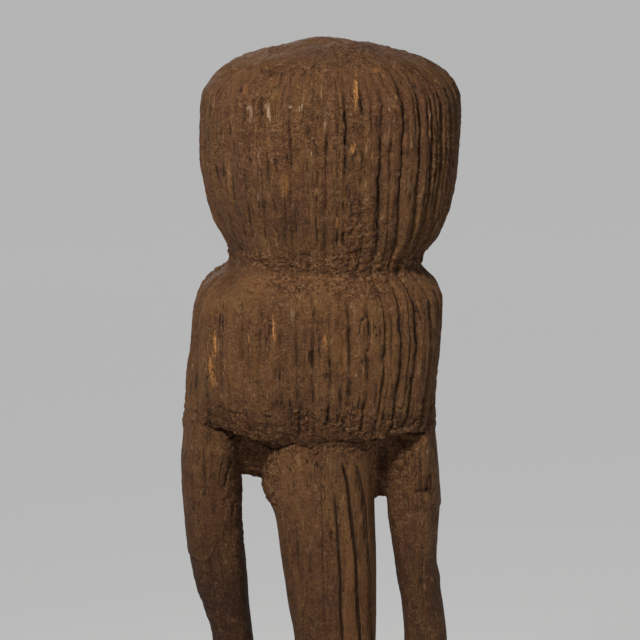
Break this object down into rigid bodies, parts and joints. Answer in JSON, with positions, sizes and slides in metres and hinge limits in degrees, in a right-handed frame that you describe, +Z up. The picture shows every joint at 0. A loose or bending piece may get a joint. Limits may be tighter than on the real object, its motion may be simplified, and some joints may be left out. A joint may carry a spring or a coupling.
{
  "type": "carved wooden shrine figure",
  "caption": "Weathered standing figure carved from one log, with a furrowed featureless head, a furrowed shoulder mass, free arms, short legs and a low round base.",
  "frame": {"origin": "on the ground under the middle of the figure's bounding box", "axes": "+Z up along the figure, -Y the way it faces, +X to the viewer's right, which is the figure's own left"},
  "size_m": [0.2074, 0.1683, 0.8],
  "materials": {
    "weathered_hardwood": "dry matt weathered hardwood, dark brown with lighter worn ridges and a dusty crust in the furrows"
  },
  "bodies": {
    "root": {"carved_figure": "weathered_hardwood"}
  },
  "joints": []
}
